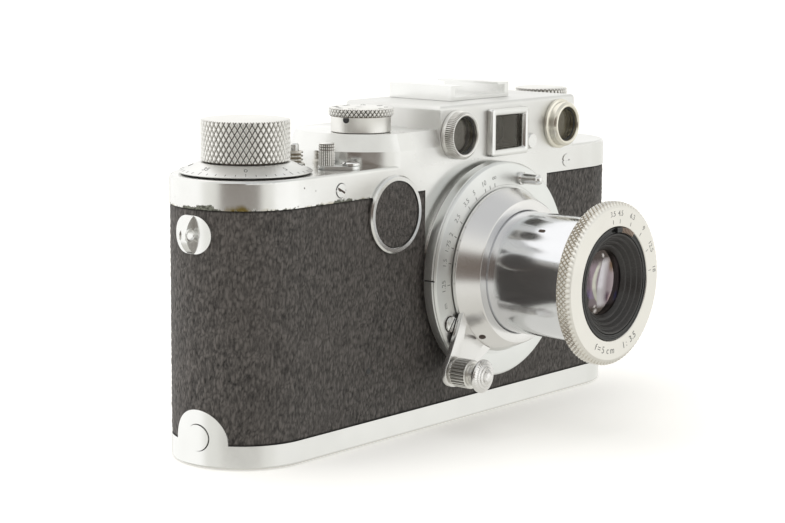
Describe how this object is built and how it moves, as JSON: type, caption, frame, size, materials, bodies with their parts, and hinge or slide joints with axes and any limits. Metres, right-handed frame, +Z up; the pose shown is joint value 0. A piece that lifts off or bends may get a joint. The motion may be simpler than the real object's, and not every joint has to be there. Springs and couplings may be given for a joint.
{
  "type": "rangefinder camera",
  "caption": "Compact rangefinder camera: round-ended pebbled body, satin chrome top and base, knurled controls, screw-mounted collapsible lens with focusing lever.",
  "frame": {"origin": "on the underside of the base plate, at the middle of the body's length and thickness", "axes": "+Z up, the lens looks along -Y, +X towards the rewind knob's end of the body"},
  "size_m": [0.141, 0.0669, 0.075],
  "materials": {
    "satin_chrome": "satin plated brass, lightly brassed at the edges",
    "polished_chrome": "polished",
    "dull_steel": "turned, oiled",
    "covering": "pebbled vulcanite",
    "brass_parts": "turned",
    "black_enamel": "satin black",
    "lens_glass": "polished, coated",
    "shell_alloy": "cast, blackened inside",
    "curtain_cloth": "rubberised cloth"
  },
  "bodies": {
    "body": {"body_shell": "shell_alloy", "body_covering": "covering", "top_cover": "satin_chrome", "case_screws": "satin_chrome", "base_hinge_stud": "satin_chrome", "strap_lugs": "satin_chrome", "mechanism_plate": "shell_alloy", "lower_bearing_plate": "shell_alloy", "film_gate": "dull_steel", "pressure_plate": "dull_steel", "shutter_curtains": "curtain_cloth", "release_collar": "satin_chrome", "reversing_lever_screw": "satin_chrome", "dial_plug": "satin_chrome", "dial_plug_insert": "covering", "accessory_shoe": "satin_chrome", "viewfinder_frame": "satin_chrome", "left_rangefinder_bezel": "satin_chrome", "right_rangefinder_bezel": "satin_chrome", "window_glasses": "lens_glass", "eyepieces": "black_enamel", "film_cassette": "brass_parts", "lens_mount_ring": "satin_chrome", "lens_flange": "satin_chrome", "stop_stud": "satin_chrome", "flange_screw": "satin_chrome"},
    "base": {"base_plate": "satin_chrome", "tripod_bush": "dull_steel"},
    "lock_key": {"base_lock_key": "satin_chrome"},
    "lock_flap": {"base_lock_flap": "satin_chrome"},
    "wind": {"wind_knob": "satin_chrome", "wind_shaft": "dull_steel", "take_up_spool": "black_enamel"},
    "counter": {"frame_counter_dial": "satin_chrome"},
    "idler": {"idler_gear": "brass_parts"},
    "sprocket_drum": {"sprocket": "black_enamel"},
    "curtain_roller": {"curtain_drum": "brass_parts"},
    "tension_roller": {"spring_roller": "brass_parts"},
    "release": {"release_button": "satin_chrome"},
    "reverser": {"reversing_lever": "satin_chrome"},
    "speed_spindle": {"speed_dial_spindle": "dull_steel"},
    "speed_knob": {"speed_dial": "satin_chrome"},
    "dioptre": {"dioptre_lever": "satin_chrome"},
    "rewind_fork": {"rewind_shaft": "dull_steel", "cassette_spool": "black_enamel"},
    "rewind_top": {"rewind_knob": "satin_chrome"},
    "helicoid": {"helicoid_ring": "brass_parts"},
    "collar": {"focusing_collar": "satin_chrome", "focus_lever": "satin_chrome"},
    "lock_button": {"infinity_lock_button": "satin_chrome"},
    "barrel": {"lens_tube": "polished_chrome", "front_ring": "satin_chrome", "lens_cell": "black_enamel", "front_lens": "lens_glass", "middle_lens": "lens_glass", "rear_lens": "lens_glass", "iris_blades": "black_enamel"},
    "aperture": {"aperture_ring": "black_enamel"},
    "follower": {"rangefinder_lever": "dull_steel"}
  },
  "joints": [
    {"name": "base_plate_swing", "type": "hinge", "parent": "body", "child": "base", "pos_m": [-0.068, -0.0013, 0.0121], "axis": [0, 1, 0], "range_deg": [0, 6]},
    {"name": "base_lock_turn", "type": "hinge", "parent": "base", "child": "lock_key", "pos_m": [0.052, 0, 0.002], "axis": [0, 0, -1], "range_deg": [0, 180]},
    {"name": "lock_flap_fold", "type": "hinge", "parent": "lock_key", "child": "lock_flap", "pos_m": [0.052, 0, 0.00065], "axis": [1, 0, 0], "range_deg": [0, 90]},
    {"name": "wind_turn", "type": "hinge", "parent": "body", "child": "wind", "pos_m": [-0.052, 0, 0.066], "axis": [0, 0, -1], "continuous": true},
    {"name": "frame_counter_turn", "type": "hinge", "parent": "body", "child": "counter", "pos_m": [-0.052, 0, 0.0605], "axis": [0, 0, -1], "continuous": true},
    {"name": "idler_turn", "type": "hinge", "parent": "body", "child": "idler", "pos_m": [-0.03768, 0.0015, 0.055], "axis": [0, 0, -1], "continuous": true},
    {"name": "sprocket_turn", "type": "hinge", "parent": "body", "child": "sprocket_drum", "pos_m": [-0.024, 0.006, 0.03], "axis": [0, 0, -1], "continuous": true},
    {"name": "curtain_drum_turn", "type": "hinge", "parent": "body", "child": "curtain_roller", "pos_m": [-0.01329, 0.0046, 0.03], "axis": [0, 0, -1], "continuous": true},
    {"name": "spring_roller_turn", "type": "hinge", "parent": "body", "child": "tension_roller", "pos_m": [0.0366, 0.0052, 0.03], "axis": [0, 0, -1], "continuous": true},
    {"name": "release_press", "type": "slide", "parent": "body", "child": "release", "axis": [0, 0, -1], "range_m": [0, 0.002]},
    {"name": "reversing_lever_swing", "type": "hinge", "parent": "body", "child": "reverser", "pos_m": [-0.0323, -0.0119, 0.0602], "axis": [0, 0, 1], "range_deg": [0, 50]},
    {"name": "speed_dial_turn", "type": "hinge", "parent": "body", "child": "speed_spindle", "pos_m": [-0.0207, -0.0047, 0.066], "axis": [0, 0, 1], "range_deg": [0, 300]},
    {"name": "speed_dial_lift", "type": "slide", "parent": "speed_spindle", "child": "speed_knob", "axis": [0, 0, 1], "range_m": [0, 0.0018]},
    {"name": "dioptre_swing", "type": "hinge", "parent": "body", "child": "dioptre", "pos_m": [0.0525, 0, 0.0604], "axis": [0, 0, 1], "range_deg": [-20, 20]},
    {"name": "rewind_turn", "type": "hinge", "parent": "body", "child": "rewind_fork", "pos_m": [0.0525, 0, 0.06], "axis": [0, 0, 1], "continuous": true},
    {"name": "rewind_knob_lift", "type": "slide", "parent": "rewind_fork", "child": "rewind_top", "axis": [0, 0, 1], "range_m": [0, 0.0055]},
    {"name": "focus_turn", "type": "hinge", "parent": "body", "child": "helicoid", "pos_m": [0.0111, -0.0186, 0.034], "axis": [0, -1, 0], "range_deg": [0, 165]},
    {"name": "focus_advance", "type": "slide", "parent": "helicoid", "child": "collar", "axis": [0, -1, 0], "range_m": [0, 0.00275]},
    {"name": "infinity_button_press", "type": "slide", "parent": "collar", "child": "lock_button", "axis": [0, 1, 0], "range_m": [0, 0.0015]},
    {"name": "lens_collapse", "type": "slide", "parent": "collar", "child": "barrel", "axis": [0, 1, 0], "range_m": [0, 0.0186]},
    {"name": "aperture_turn", "type": "hinge", "parent": "barrel", "child": "aperture", "pos_m": [0.0111, -0.0495, 0.034], "axis": [0, -1, 0], "range_deg": [-75, 20]},
    {"name": "rangefinder_follow", "type": "hinge", "parent": "body", "child": "follower", "pos_m": [0.0291, -0.002, 0.05], "axis": [0, 0, 1], "range_deg": [0, 8.6]}
  ],
  "couplings": [
    {"joint": "frame_counter_turn", "follows": "wind_turn", "ratio": 0.025},
    {"joint": "idler_turn", "follows": "wind_turn", "ratio": -0.71429},
    {"joint": "sprocket_turn", "follows": "wind_turn", "ratio": 1},
    {"joint": "curtain_drum_turn", "follows": "wind_turn", "ratio": -1.25},
    {"joint": "spring_roller_turn", "follows": "wind_turn", "ratio": -1.5417},
    {"joint": "focus_advance", "follows": "focus_turn", "m_per_rad": 0.00095483},
    {"joint": "rangefinder_follow", "follows": "focus_turn", "ratio": 0.051818}
  ]
}
